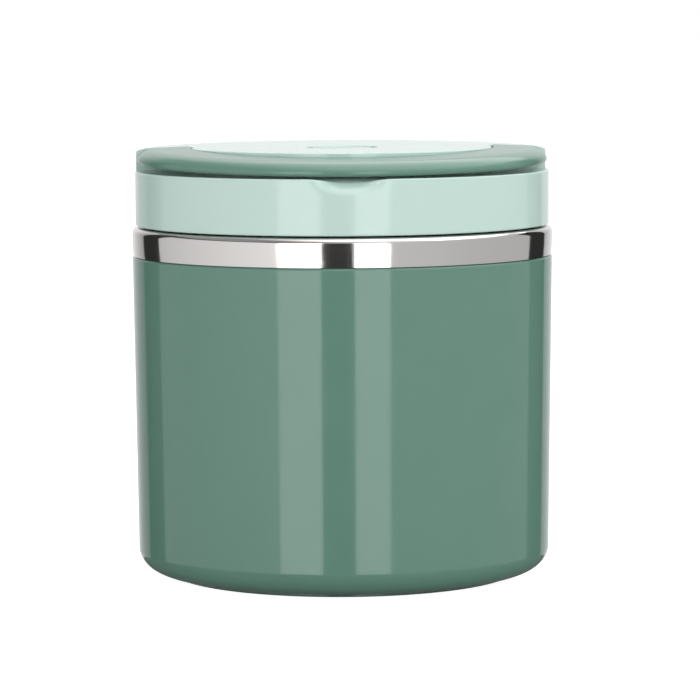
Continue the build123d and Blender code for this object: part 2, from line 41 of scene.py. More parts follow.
MM = 0.001
MERGE = 0.000002
ROUND_STEPS = 288
LID_STEPS = 384
HANDLE_STEPS = 360
VENT_STEPS = 128

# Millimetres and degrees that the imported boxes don't give
JACKET_WALL = 2.4
JACKET_FLOOR = 2.2
JACKET_DRAFT = 1.1
CORNER_WIDTH = 8.6
CORNER_HEIGHT = 7.0
TONGUE_STEP = 0.9
COLLAR_SEAT = 0.15
FLOOR_LEDGE = 3.5
BASE_GAP = 0.2
BASE_PLATE = 1.8
FOOT_RIM = 2.6
FOOT_WIDTH = 6.0
FOOT_RECESS = 1.3
FOOT_EDGE = 0.5
RECESS_EDGE = 0.6
FLOOR_GAP = 0.1
TONGUE_EDGE = 0.4
HOLE_EDGE = 0.15

SHEET = 0.6
SKIRT_STEP = 0.25
NECK_ROOT = 1.2
THREAD_STARTS = 4
THREAD_LEAD = 16.0
THREAD_RISE = 3.6
RIDGE_DEPTH = 1.0
RIDGE_BASE = 1.9
RIDGE_CREST = 0.9
RIDGE_ARC = 84.0
RIDGE_ROOT = 0.2
RIDGE_EDGE = 0.35
RIDGE_STEPS = 60

LID_WALL = 2.0
LID_PLATE = 1.8
LID_GAP = 0.4
LEDGE_EDGE = 0.5
PLATEAU_RISE = 6.5
PLATEAU_PLATE = 2.0
PLATEAU_EDGE = 0.35
HANDLE_SEAT_WIDTH = 16.5
REAR_CROWN_WIDTH = 7.0
REAR_CROWN_HEIGHT = 1.3
REAR_WALL_Y = 5.4
NOTCH_WIDTH = 21.0
NOTCH_FLOOR = 8.0
NOTCH_DEPTH = 1.1
NOTCH_REACH = 4.2
NOTCH_STRETCH = 8.6
NOTCH_LIP = 3.4
NOTCH_LEAN = 2.2
NOTCH_BACKING = 1.6
HOLDING_RING = 1.2
SMOOTH_RING = 0.6
SEAT_EDGE = 0.3
DISH_EDGE = 0.15
DISH_FLOOR_EDGE = 0.5

HANDLE_GAP = 0.5
HANDLE_ABOVE = 1.95
HANDLE_BELOW = 2.4
HANDLE_CROWN_WIDTH = 6.4
HANDLE_CROWN_HEIGHT = 3.1
HANDLE_FALL = 0.35
HANDLE_EDGE = 0.35
HANDLE_LOWER_EDGE = 0.8
REST_GAP = 0.6
HEEL_LENGTH = 4.3
HEEL_TOP_EDGE = 0.3
HEEL_LOWER_EDGE = 0.85
POCKET_COUNT = 9
POCKET_ARC = 13.0
POCKET_RIB = 2.0
POCKET_DEPTH = 2.4
POCKET_WALL_IN = 2.4
POCKET_WALL_OUT = 3.0
BORE_RUNNING = 0.05
BORE_SPARE = 0.35

VENT_GUIDE_R = 3.95
VENT_FINGER_GAP = 1.8
VENT_DISH_DEPTH = 1.9
VENT_BOSS_LAP = 2.6
VENT_BOSS_DROP = 2.0
VENT_STEM_R = 3.6
VENT_HEAD_LAP = 1.0
VENT_SEAT_LAP = 1.1
VENT_SLIP = 0.35
VENT_FOOT = 1.5
VENT_HEAD = 1.9
VENT_CAP = 1.7
VENT_LIP = 1.2
VENT_HOLLOW = 0.25
VENT_EDGE = 0.3
VENT_RIM_EDGE = 0.5
VENT_LIP_EDGE = 0.4
VENT_HOLLOW_EDGE = 0.6

# How near a vertex must be to be picked, in millimetres or degrees
NEAR = 0.001

# The studio in metres, with the fills' reach as a share of its radius
CEILING_RISE = 0.35
ROOF_RISE = 1.6
FILL_SIZE = 1.2
FILL_HEIGHT = 0.35
FILL_REACH = 0.85
FLOOR_RADIUS = 12

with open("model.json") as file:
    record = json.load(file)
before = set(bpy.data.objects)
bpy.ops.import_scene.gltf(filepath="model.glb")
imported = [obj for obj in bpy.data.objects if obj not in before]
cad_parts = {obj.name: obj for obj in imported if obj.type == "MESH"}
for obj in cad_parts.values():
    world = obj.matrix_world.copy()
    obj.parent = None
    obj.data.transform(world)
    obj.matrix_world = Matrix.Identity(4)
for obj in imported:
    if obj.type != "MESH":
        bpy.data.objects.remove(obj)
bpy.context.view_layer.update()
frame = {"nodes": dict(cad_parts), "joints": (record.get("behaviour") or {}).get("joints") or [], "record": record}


# ---- settings
class JarColours(bpy.types.PropertyGroup):
    """Colours of the jar's plastics, steel and rubber."""

    jacket: bpy.props.FloatVectorProperty(
        name="Jacket", description="Deep green of the jacket and the handle",
        subtype="COLOR", default=(0.124, 0.2545, 0.198), min=0, max=1,
    )
    lid: bpy.props.FloatVectorProperty(
        name="Lid", description="Pale green of the lid cover",
        subtype="COLOR", default=(0.563, 0.737, 0.677), min=0, max=1,
    )
    liner: bpy.props.FloatVectorProperty(
        name="Liner", description="Off-white of the lid's inner half",
        subtype="COLOR", default=(0.72, 0.76, 0.73), min=0, max=1,
    )
    steel: bpy.props.FloatVectorProperty(
        name="Steel", description="Polished stainless steel",
        subtype="COLOR", default=(0.80, 0.775, 0.76), min=0, max=1,
    )
    silicone: bpy.props.FloatVectorProperty(
        name="Silicone", description="Milky silicone of the seals",
        subtype="COLOR", default=(0.72, 0.74, 0.72), min=0, max=1,
    )
    vent: bpy.props.FloatVectorProperty(
        name="Vent", description="Green silicone of the vent plug",
        subtype="COLOR", default=(0.50, 0.64, 0.59), min=0, max=1,
    )
    foam: bpy.props.FloatVectorProperty(
        name="Foam", description="Cream insulation foam",
        subtype="COLOR", default=(0.80, 0.72, 0.50), min=0, max=1,
    )


class JarShape(bpy.types.PropertyGroup):
    """Roundings that give the jar its highlights."""

    jacket_edge: bpy.props.FloatProperty(
        name="Jacket edge", description="Rounding of the jacket's top edge under the steel",
        unit="LENGTH", default=0.00085, min=0.0002, max=0.00085,
    )
    collar_bend: bpy.props.FloatProperty(
        name="Collar bend", description="Rounding between the steel band and its shoulder",
        unit="LENGTH", default=0.002, min=0.001, max=0.003,
    )


class StudioSettings(bpy.types.PropertyGroup):
    """Camera and lights of the product studio."""

    camera_distance: bpy.props.FloatProperty(
        name="Camera distance", description="From the jar along the floor", unit="LENGTH", default=1.0977
    )
    camera_height: bpy.props.FloatProperty(
        name="Camera height", description="Above the floor", unit="LENGTH", default=0.168
    )
    camera_turn: bpy.props.FloatProperty(
        name="Camera turn", description="Towards the jar's left", subtype="ANGLE", default=radians(2.2)
    )
    camera_pan: bpy.props.FloatProperty(
        name="Camera pan", description="Moves the jar to the left", subtype="ANGLE", default=radians(0.108)
    )
    camera_pitch: bpy.props.FloatProperty(
        name="Camera pitch", description="How far it looks down", subtype="ANGLE", default=radians(5.37)
    )
    camera_roll: bpy.props.FloatProperty(
        name="Camera roll", description="Its lean to the right", subtype="ANGLE", default=radians(0.3)
    )
    lens: bpy.props.FloatProperty(
        name="Lens", description="Focal length in millimetres", default=194.4, min=50, max=400
    )
    rig_radius: bpy.props.FloatProperty(
        name="Rig radius", description="From the jar to the panels round it", unit="LENGTH", default=1.6
    )
    panel_top: bpy.props.FloatProperty(
        name="Panel top", description="Height of the panels' upper edge", unit="LENGTH", default=0.95
    )
    panel_foot: bpy.props.FloatProperty(
        name="Panel foot", description="Height of the panels' lower edge", unit="LENGTH", default=-0.36
    )
    softbox_light: bpy.props.FloatProperty(
        name="Softbox light", description="Brightness of the front softboxes", default=2.8, min=0
    )
    overhead_light: bpy.props.FloatProperty(
        name="Overhead light", description="Brightness of the softbox above", default=2.0, min=0
    )
    backdrop_light: bpy.props.FloatProperty(
        name="Backdrop light", description="Brightness of the paper behind", default=0.84, min=0
    )
    room_light: bpy.props.FloatProperty(
        name="Room light", description="Brightness of the room around", default=0.12, min=0
    )
    fill_power: bpy.props.FloatProperty(
        name="Fill power", description="Watts of the two fills, unseen in gloss", default=6.0, min=0
    )


class FoodJarSettings(bpy.types.PropertyGroup):
    """All that a user can change on the jar and its studio."""

    colours: bpy.props.PointerProperty(type=JarColours)
    shape: bpy.props.PointerProperty(type=JarShape)
    studio: bpy.props.PointerProperty(type=StudioSettings)


def settings():
    """The scene's settings for the jar."""
    return bpy.context.scene.food_jar


# ---- objects
def deselect():
    """Leaves object mode with nothing selected."""
    if bpy.context.mode != "OBJECT":
        bpy.ops.object.mode_set(mode="OBJECT")
    bpy.ops.object.select_all(action="DESELECT")


def choose(*objects):
    """Selects objects in object mode and makes the last one active."""
    deselect()
    for chosen in objects:
        chosen.select_set(True)
    bpy.context.view_layer.objects.active = objects[-1]


# ---- node groups
def new_group(name, inputs, outputs):
    """A shader node group with a place and named values, what it is given and what it gives."""
    group = bpy.data.node_groups.new(name, "ShaderNodeTree")
    for label, value in {"Place": (0, 0, 0), **inputs}.items():
        kind = "NodeSocketFloat" if isinstance(value, (int, float)) else "NodeSocketVector"
        socket = group.interface.new_socket(label, in_out="INPUT", socket_type=kind)
        socket.default_value = value
    for label in outputs:
        group.interface.new_socket(label, in_out="OUTPUT", socket_type="NodeSocketFloat")
    given = group.nodes.new("NodeGroupInput").outputs
    return group, given, group.nodes.new("NodeGroupOutput").inputs


def make_node(tree, kind, inputs, **values):
    """A new node whose inputs are fed by links or by values."""
    node = tree.nodes.new("ShaderNode" + kind)
    for label, value in values.items():
        setattr(node, label, value)
    for label, source in inputs.items():
        if isinstance(source, bpy.types.NodeSocket):
            tree.links.new(source, node.inputs[label])
        else:
            node.inputs[label].default_value = source
    return node


def math_node(tree, operation, *sources):
    """A Math node. Its value comes back."""
    return make_node(tree, "Math", dict(enumerate(sources)), operation=operation).outputs[0]


def noise_node(tree, place, scale, detail=2.0, roughness=0.5):
    """A Noise Texture. Its value comes back."""
    inputs = {"Vector": place, "Scale": scale, "Detail": detail, "Roughness": roughness}
    return make_node(tree, "TexNoise", inputs).outputs["Fac"]


def range_node(tree, value, low, high, to_low=0.0, to_high=1.0):
    """A Map Range node with clamped ends. Its value comes back."""
    inputs = {"Value": value, "From Min": low, "From Max": high, "To Min": to_low, "To Max": to_high}
    return make_node(tree, "MapRange", inputs).outputs[0]


@cache
def grain_group():
    """The faint orange peel and flow mottle of a moulded skin."""
    inputs = {"Peel size": 900.0, "Mottle size": 60.0}
    group, start, end = new_group("Moulded grain", inputs, ["Height", "Mottle"])
    peel = noise_node(group, start["Place"], start["Peel size"], 1.0)
    swell = noise_node(group, start["Place"], 110.0, 0.0)
    height = math_node(group, "MULTIPLY_ADD", swell, 3.0, peel)
    mottle = noise_node(group, start["Place"], start["Mottle size"], 4.0, 0.6)
    group.links.new(height, end["Height"])
    group.links.new(range_node(group, mottle, 0.3, 0.7), end["Mottle"])
    return group


@cache
def scratch_group():
    """Sparse hair scratches that run in two directions."""
    group, start, end = new_group("Hair scratches", {"Density": 0.5}, ["Mask"])
    place = start["Place"]
    limit = range_node(group, start["Density"], 0.0, 1.0, 0.80, 0.62)
    patches = range_node(group, noise_node(group, place, 45.0, 1.0), 0.45, 0.6)
    masks = []
    for stretch in ((30, 30, 900), (900, 700, 25)):
        stretched = make_node(group, "VectorMath", {0: place, 1: stretch}, operation="MULTIPLY")
        lines = noise_node(group, stretched.outputs[0], 1.0, 1.0)
        sharp = range_node(group, lines, limit, 0.85)
        masks.append(math_node(group, "MULTIPLY", sharp, patches))
    group.links.new(math_node(group, "MAXIMUM", *masks), end["Mask"])
    return group


@cache
def wear_and_highlight_group():
    """Paler edges: partly rubbed wear where hands and tables touch, partly a painted highlight along the
    roundings.
    """
    group, start, end = new_group("Edge wear and highlight", {"Sharpness": 0.53, "Patch size": 150.0}, ["Mask"])
    shape = group.nodes.new("ShaderNodeNewGeometry")
    edge = range_node(group, shape.outputs["Pointiness"], start["Sharpness"], 0.62)
    patches = noise_node(group, start["Place"], start["Patch size"], 3.0)
    wear_and_highlight = math_node(group, "MULTIPLY", edge, range_node(group, patches, 0.35, 0.65))
    group.links.new(wear_and_highlight, end["Mask"])
    return group


@cache
def smudge_group():
    """Soft patches left by wiping and by hands."""
    group, start, end = new_group("Smudges", {"Size": 35.0}, ["Mask"])
    soft = noise_node(group, start["Place"], start["Size"], 2.0, 0.55)
    group.links.new(range_node(group, soft, 0.42, 0.68), end["Mask"])
    return group


@cache
def line_group():
    """Fine lines round the jar's axis, as a lathe leaves them."""
    group, start, end = new_group("Turning lines", {"Lines per metre": 5000.0}, ["Height"])
    parts = make_node(group, "SeparateXYZ", {0: start["Place"]}).outputs
    across = math_node(group, "POWER", parts["X"], 2.0)
    along = math_node(group, "POWER", parts["Y"], 2.0)
    radius = math_node(group, "SQRT", math_node(group, "ADD", across, along))
    ring = math_node(group, "MULTIPLY", radius, start["Lines per metre"])
    level = math_node(group, "MULTIPLY", parts["Z"], start["Lines per metre"])
    place = make_node(group, "CombineXYZ", {"X": ring, "Z": level})
    group.links.new(noise_node(group, place.outputs[0], 1.0), end["Height"])
    return group


# ---- materials
class Finish:
    """A Principled material that is fed by the shared effects on Object coordinates."""

    def __init__(self, name, colour, roughness, **sockets):
        self.material = bpy.data.materials.new(name)
        self.material.use_nodes = True
        self.tree = self.material.node_tree
        self.shader = self.tree.nodes["Principled BSDF"]
        self.place = self.tree.nodes.new("ShaderNodeTexCoord").outputs["Object"]
        values = {"Base Color": (*colour, 1), "Roughness": roughness, **sockets}
        for label, value in values.items():
            self.shader.inputs[label.replace("_", " ")].default_value = value

    def effect(self, group, output, **inputs):
        """Places a shared effect with its own values and gives one of its outputs."""
        values = {label.replace("_", " "): value for label, value in inputs.items()}
        values["Place"] = self.place
        return make_node(self.tree, "Group", values, node_tree=group()).outputs[output]

    def tint(self, mask, colour, amount):
        """Blends the base colour towards another by a mask."""
        socket = self.shader.inputs["Base Color"]
        first = socket.links[0].from_socket if socket.is_linked else socket.default_value
        factor = range_node(self.tree, mask, 0, 1, 0, amount)
        inputs = {"Factor": factor, "A": first, "B": (*colour, 1)}
        mix = make_node(self.tree, "Mix", inputs, data_type="RGBA")
        self.tree.links.new(mix.outputs["Result"], socket)

    def roughen(self, mask, low, high):
        """Lets a mask move the roughness between two values."""
        socket = self.shader.inputs["Roughness"]
        value = range_node(self.tree, mask, 0, 1, low, high)
        if socket.is_linked:
            value = math_node(self.tree, "ADD", socket.links[0].from_socket, value)
        self.tree.links.new(value, socket)

    def bump(self, height, depth, strength=1.0):
        """Raises the surface by a height times a depth in metres."""
        inputs = {"Strength": strength, "Distance": depth, "Height": height}
        node = make_node(self.tree, "Bump", inputs)
        self.tree.links.new(node.outputs["Normal"], self.shader.inputs["Normal"])


def lighter(colour, amount):
    """A colour part of the way to white."""
    return [value + (1 - value) * amount for value in colour]


def darker(colour, amount):
    """A colour part of the way to black."""
    return [value * (1 - amount) for value in colour]


def gloss_plastic(name, colour, roughness):
    """Polished polypropylene: faint orange peel, hair scratches, and paler edges that are partly rubbed wear and
    partly a painted highlight.
    """
    finish = Finish(name, colour, roughness, IOR=1.5)
    finish.tint(finish.effect(grain_group, "Mottle", Mottle_size=70.0), lighter(colour, 0.06), 0.15)
    # Paler edges: partly wear, partly a painted highlight along the roundings
    finish.tint(finish.effect(wear_and_highlight_group, "Mask"), lighter(colour, 0.3), 0.35)
    finish.roughen(finish.effect(smudge_group, "Mask", Size=30.0), roughness, roughness + 0.03)
    finish.roughen(finish.effect(scratch_group, "Mask", Density=0.4), 0.0, 0.15)
    finish.bump(finish.effect(grain_group, "Height", Peel_size=420.0), 0.000003)
    return finish.material


def satin_plastic(name, colour):
    """Polypropylene from a fine-eroded mould."""
    finish = Finish(name, colour, 0.38, IOR=1.5)
    finish.tint(finish.effect(grain_group, "Mottle", Mottle_size=50.0), darker(colour, 0.08), 0.4)
    # Paler edges: partly wear, partly a painted highlight along the roundings
    finish.tint(finish.effect(wear_and_highlight_group, "Mask"), lighter(colour, 0.4), 0.4)
    finish.roughen(finish.effect(smudge_group, "Mask", Size=45.0), 0.34, 0.46)
    finish.bump(finish.effect(grain_group, "Height", Peel_size=2600.0), 0.00002)
    return finish.material


def spun_steel(name, colour, roughness, lines, depth):
    """Stainless steel with lines round the axis, from mirror to satin."""
    finish = Finish(name, colour, roughness, Metallic=1.0)
    finish.tint(finish.effect(smudge_group, "Mask", Size=25.0), darker(colour, 0.1), 0.4)
    finish.roughen(finish.effect(smudge_group, "Mask", Size=60.0), roughness, roughness * 1.35)
    finish.roughen(finish.effect(scratch_group, "Mask", Density=0.6), 0.0, 0.12)
    finish.bump(finish.effect(line_group, "Height", Lines_per_metre=lines), depth)
    return finish.material


def pin_steel(name, colour):
    """Drawn wire, a little duller than sheet."""
    finish = Finish(name, darker(colour, 0.12), 0.28, Metallic=1.0)
    finish.roughen(finish.effect(smudge_group, "Mask", Size=400.0), 0.24, 0.36)
    finish.bump(finish.effect(grain_group, "Height", Peel_size=6000.0), 0.000004)
    return finish.material


def moulded_silicone(name, colour, milky):
    """Soft silicone rubber, matt, with light let in."""
    depth = {"Subsurface_Radius": (0.0015, 0.0016, 0.0015), "Subsurface_Scale": 1.0}
    finish = Finish(name, colour, 0.5, IOR=1.41, Subsurface_Weight=milky, **depth)
    finish.tint(finish.effect(grain_group, "Mottle", Mottle_size=160.0), darker(colour, 0.1), 0.5)
    finish.roughen(finish.effect(smudge_group, "Mask", Size=120.0), 0.44, 0.58)
    finish.bump(finish.effect(grain_group, "Height", Peel_size=3500.0), 0.000015)
    return finish.material


def rigid_foam(name, colour):
    """Poured insulation foam with small cells."""
    finish = Finish(name, colour, 0.85)
    inputs = {"Vector": finish.place, "Scale": 900.0}
    cells = make_node(finish.tree, "TexVoronoi", inputs).outputs["Distance"]
    finish.tint(finish.effect(grain_group, "Mottle", Mottle_size=90.0), darker(colour, 0.18), 0.8)
    finish.tint(cells, darker(colour, 0.35), 0.4)
    finish.bump(cells, 0.0003, 0.8)
    return finish.material


def make_materials():
    """Every finish of the jar by the name of its material slot."""
    colours = settings().colours
    return {
        "jacket_plastic": gloss_plastic("Jacket green", colours.jacket, 0.08),
        "handle_plastic": gloss_plastic("Handle green", colours.jacket, 0.18),
        "lid_plastic": gloss_plastic("Lid green", colours.lid, 0.10),
        "liner_plastic": satin_plastic("Liner white", colours.liner),
        "polished_steel": spun_steel("Polished steel", colours.steel, 0.07, 2600.0, 0.0000012),
        "pot_steel": spun_steel("Satin pot steel", colours.steel, 0.24, 4200.0, 0.00001),
        "pin_steel": pin_steel("Pin steel", colours.steel),
        "silicone": moulded_silicone("Milky silicone", colours.silicone, 0.5),
        "vent_silicone": moulded_silicone("Green silicone", colours.vent, 0.15),
        "foam": rigid_foam("Cream foam", colours.foam),
    }


jar_materials = {}


# ---- studio
def glow_material(name, strength):
    """A white light panel."""
    material = bpy.data.materials.new(name)
    material.use_nodes = True
    tree = material.node_tree
    tree.nodes.clear()
    glow = make_node(tree, "Emission", {"Strength": strength})
    make_node(tree, "OutputMaterial", {"Surface": glow.outputs[0]})
    return material


def light_for_camera(tree, socket, dim, bright):
    """Feeds a socket one brightness for the jar and another for the camera."""
    seen = tree.nodes.new("ShaderNodeLightPath").outputs["Is Camera Ray"]
    tree.links.new(range_node(tree, seen, 0, 1, dim, bright), socket)


def shaded_material(name, start, end, first, last, turning=True):
    """A light panel whose brightness changes evenly round the jar, or else from left to right."""
    material = glow_material(name, 1.0)
    tree = material.node_tree
    place = tree.nodes.new("ShaderNodeTexCoord").outputs["Object"]
    split = make_node(tree, "SeparateXYZ", {0: place}).outputs
    along = split["X"]
    if turning:
        along = math_node(tree, "ARCTAN2", along, math_node(tree, "MULTIPLY", split["Y"], -1.0))
    light = range_node(tree, along, start, end, first, last)
    tree.links.new(light, tree.nodes["Emission"].inputs["Strength"])
    return material


def finish_panel(name, material):
    """Makes the new mesh a light panel that the camera doesn't see."""
    panel = bpy.context.object
    panel.name = name
    panel.data.materials.append(material)
    panel.visible_camera = False


def add_panel(name, start, end, low, high, material):
    """An upright curved panel round the jar, in steps of about five degrees."""
    radius = settings().studio.rig_radius
    steps = max(2, round(degrees(end - start) / 5))
    deselect()
    bpy.ops.mesh.primitive_plane_add(size=1, enter_editmode=True)
    bpy.ops.mesh.merge(type="CENTER")
    bpy.ops.transform.translate(value=(radius * sin(start), -radius * cos(start), low))
    bpy.ops.mesh.extrude_region_move(TRANSFORM_OT_translate={"value": (0, 0, high - low)})
    bpy.ops.mesh.select_all(action="SELECT")
    bpy.ops.mesh.spin(steps=steps, angle=end - start, center=(0, 0, 0), axis=(0, 0, -1))
    deselect()
    finish_panel(name, material)


def add_ceiling():
    """The overhead softbox, from above the jar to the paper behind it, dimmer at its left."""
    studio = settings().studio
    half = studio.rig_radius
    deselect()
    place = (0, half * 0.5, studio.panel_top + CEILING_RISE)
    bpy.ops.mesh.primitive_plane_add(size=2 * half, location=place)
    bpy.ops.object.transform_apply(location=True, rotation=False, scale=False)
    light = shaded_material("Overhead light", -0.6, 0.0, 0.3, studio.overhead_light, False)
    finish_panel("overhead_softbox", light)


def add_fill(name, turn, share):
    """A soft lamp that lights the jar from one side and shows in none of its gloss."""
    studio = settings().studio
    data = bpy.data.lights.new(name.replace("_", " ").capitalize(), "AREA")
    data.size = FILL_SIZE
    data.energy = studio.fill_power * share
    fill = bpy.data.objects.new(name, data)
    bpy.context.collection.objects.link(fill)
    reach = studio.rig_radius * FILL_REACH
    place = Vector((reach * sin(turn), -reach * cos(turn), FILL_HEIGHT))
    fill.location = place
    fill.rotation_euler = (-place).to_track_quat("-Z", "Y").to_euler()
    fill.visible_glossy = False
    fill.visible_camera = False


def add_floor():
    """A wide pale disc under the jar, which the camera sees as white."""
    deselect()
    bpy.ops.mesh.primitive_circle_add(vertices=96, radius=FLOOR_RADIUS, fill_type="NGON")
    floor = bpy.context.object
    floor.name = "floor"
    glow = {"Specular_IOR_Level": 0, "Emission_Color": (1, 1, 1, 1)}
    paper = Finish("Pale floor", (0.5, 0.5, 0.5), 0.9, **glow)
    light_for_camera(paper.tree, paper.shader.inputs["Emission Strength"], 0.05, 0.95)
    floor.data.materials.append(paper.material)
    floor.visible_glossy = False


def add_world():
    """A dim room that the camera itself sees as plain white."""
    scene = bpy.context.scene
    world = bpy.data.worlds.new("Studio room")
    scene.world = world
    world.use_nodes = True
    light = world.node_tree.nodes["Background"].inputs
    light["Color"].default_value = (1, 1, 1, 1)
    light_for_camera(world.node_tree, light["Strength"], settings().studio.room_light, 1.0)
    scene.view_settings.view_transform = "Standard"


def add_camera():
    """A long lens a little above the lid, slightly to the jar's left."""
    studio = settings().studio
    data = bpy.data.cameras.new("Product camera")
    data.lens = studio.lens
    data.sensor_width = 36
    camera = bpy.data.objects.new("product_camera", data)
    bpy.context.collection.objects.link(camera)
    turn, distance = studio.camera_turn, studio.camera_distance
    place = (-distance * sin(turn), -distance * cos(turn), studio.camera_height)
    heading = Matrix.Rotation(-turn - studio.camera_pan, 4, "Z")
    pitch = Matrix.Rotation(pi / 2 - studio.camera_pitch, 4, "X")
    roll = Matrix.Rotation(-studio.camera_roll, 4, "Z")
    camera.matrix_world = Matrix.Translation(place) @ heading @ pitch @ roll
    bpy.context.scene.camera = camera


class FOODJAR_OT_studio(bpy.types.Operator):
    """Add the camera, the pale floor and the light panels round the jar"""

    bl_idname = "food_jar.studio"
    bl_label = "Studio"

    def execute(self, context):
        studio = settings().studio
        front = -studio.camera_turn
        add_camera()
        add_world()
        add_floor()
        add_ceiling()
        add_fill("fill_left", front - radians(60), 0.39)
        add_fill("fill_right", front + radians(75), 0.61)
        softbox = glow_material("Softbox light", studio.softbox_light)
        flag = glow_material("Black flag", 0.03)
        gap = glow_material("Camera gap", 0.045)
        paper = studio.backdrop_light
        backdrop = glow_material("Backdrop light", paper)
        lower = (studio.panel_foot, studio.panel_top)
        upper = (studio.panel_top, studio.panel_top + ROOF_RISE)
        for name, start, end, levels, light in (
            ("softbox_left", -34.6, -11.2, lower, softbox),
            ("camera_gap", -11.2, 6.5, lower, gap),
            ("softbox_right", 6.5, 25.4, lower, softbox),
            ("grey_card_left", -117.2, -34.6, lower, (0.6, 0.92)),
            ("grey_card_right", 25.4, 121.8, lower, (0.62, 0.5)),
            ("flag_left", -137.5, -117.2, lower, flag),
            ("flag_right", 121.8, 143.6, lower, flag),
            ("backdrop_left", -162, -137.5, lower, (paper, 0.36)),
            ("backdrop_right", 143.6, 162, lower, (0.5, paper)),
            ("backdrop", 162, 198, lower, backdrop),
            ("upper_left", -137, -34, upper, (0.05, 0.16)),
            ("upper_front", -34, 14, upper, (0.2, 0.75)),
            ("upper_right", 14, 141.5, upper, (0.75, 0.6)),
        ):
            start, end = front + radians(start), front + radians(end)
            if isinstance(light, tuple):
                title = name.replace("_", " ").capitalize()
                light = shaded_material(title, start, end, *light)
            add_panel(name, start, end, *levels, light)
        return {"FINISHED"}


class FOODJAR_OT_finishes(bpy.types.Operator):
    """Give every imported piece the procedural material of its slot"""

    bl_idname = "food_jar.finishes"
    bl_label = "Finishes"

    def execute(self, context):
        jar_materials.update(make_materials())
        for part in frame["record"]["subparts"]:
            for slot in frame["nodes"][part["node"]].material_slots:
                slot.material = jar_materials[part["material_slot"]]
        return {"FINISHED"}


# ---- modelling
def node_size(node):
    """Outer radius, lowest level and highest level of a packed round piece, in millimetres."""
    low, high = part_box(node)
    return high.x / MM, low.z / MM, high.z / MM


def arc(centre, width, height, start, end, steps):
    """Points of an elliptic arc in the plane of radius and height, from one angle to another."""
    turns = [radians(start + (end - start) * step / steps) for step in range(steps + 1)]
    return [(centre[0] + width * cos(turn), centre[1] + height * sin(turn)) for turn in turns]


def merge_close():
    """Merges the edited vertices that lie in one place, and leaves everything selected."""
    bpy.ops.mesh.select_all(action="SELECT")
    bpy.ops.mesh.remove_doubles(threshold=MERGE)


def draw_outline(points):
    """Draws an outline of radius and height in millimetres as a chain of edges."""
    deselect()
    radius, height = points[0]
    bpy.ops.mesh.primitive_plane_add(size=MM, enter_editmode=True)
    bpy.ops.mesh.select_mode(type="VERT")
    bpy.ops.mesh.select_all(action="SELECT")
    bpy.ops.mesh.merge(type="CENTER")
    bpy.ops.transform.translate(value=(radius * MM, 0, height * MM))
    for new_radius, new_height in points[1:]:
        step = ((new_radius - radius) * MM, 0, (new_height - height) * MM)
        bpy.ops.mesh.extrude_region_move(TRANSFORM_OT_translate={"value": step})
        radius, height = new_radius, new_height
    merge_close()


def select_where(test):
    """Selects the vertices of the edited mesh whose place in millimetres passes a test."""
    bpy.ops.mesh.select_mode(type="VERT")
    bpy.ops.mesh.select_all(action="DESELECT")
    bpy.ops.object.mode_set(mode="OBJECT")
    for vertex in bpy.context.object.data.vertices:
        vertex.select = test(vertex.co / MM)
    bpy.ops.object.mode_set(mode="EDIT")


def round_corner(place, radius, segments=6):
    """Rounds one corner of the edited outline."""
    bpy.ops.object.mode_set(mode="OBJECT")
    mesh = bpy.context.object.data
    target = Vector((place[0] * MM, 0, place[1] * MM))
    corner = min(mesh.vertices, key=lambda vertex: (vertex.co - target).length)
    ends = []
    for edge in mesh.edges:
        if corner.index in edge.vertices:
            ends += [mesh.vertices[end].co - corner.co for end in edge.vertices if end != corner.index]
    half_turn = (pi - ends[0].angle(ends[1])) / 2
    spot = corner.co / MM
    bpy.ops.object.mode_set(mode="EDIT")
    select_where(lambda point: (point - spot).length < NEAR)
    reach = radius * MM * tan(half_turn)
    bpy.ops.mesh.bevel(offset=reach, segments=segments, affect="VERTICES")


def spin_outline(steps, angle=2 * pi):
    """Spins the edited outline round the jar's axis, clockwise from above, and merges the seam."""
    bpy.ops.mesh.select_all(action="SELECT")
    bpy.ops.mesh.spin(steps=steps, angle=angle, center=(0, 0, 0), axis=(0, 0, 1))
    merge_close()


def lathe(points, corners, steps=ROUND_STEPS):
    """A round skin from an outline with rounded corners. It stays in edit mode."""
    draw_outline(points)
    for place, radius in corners:
        round_corner(place, radius)
    spin_outline(steps)
    return bpy.context.object


def apply_modifier(piece, kind, **values):
    """Adds a modifier, sets it up and applies it."""
    modifier = piece.modifiers.new(kind.title(), kind)
    for label, value in values.items():
        setattr(modifier, label, value)
    bpy.context.view_layer.objects.active = piece
    bpy.ops.object.modifier_apply(modifier=modifier.name)


def finish_piece(piece, name, slot, body, node, angle=35, finish=None):
    """Finishes a piece: outward faces, shading, material, body and packed twin."""
    choose(piece)
    bpy.ops.object.mode_set(mode="EDIT")
    merge_close()
    bpy.ops.mesh.normals_make_consistent(inside=False)
    bpy.ops.object.mode_set(mode="OBJECT")
    bpy.ops.object.shade_smooth_by_angle(angle=radians(angle))
    apply_modifier(piece, "WEIGHTED_NORMAL", keep_sharp=True)
    piece.name = name
    piece.data.materials.append(jar_materials[finish or slot])
    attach(piece, body)
    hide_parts(node)


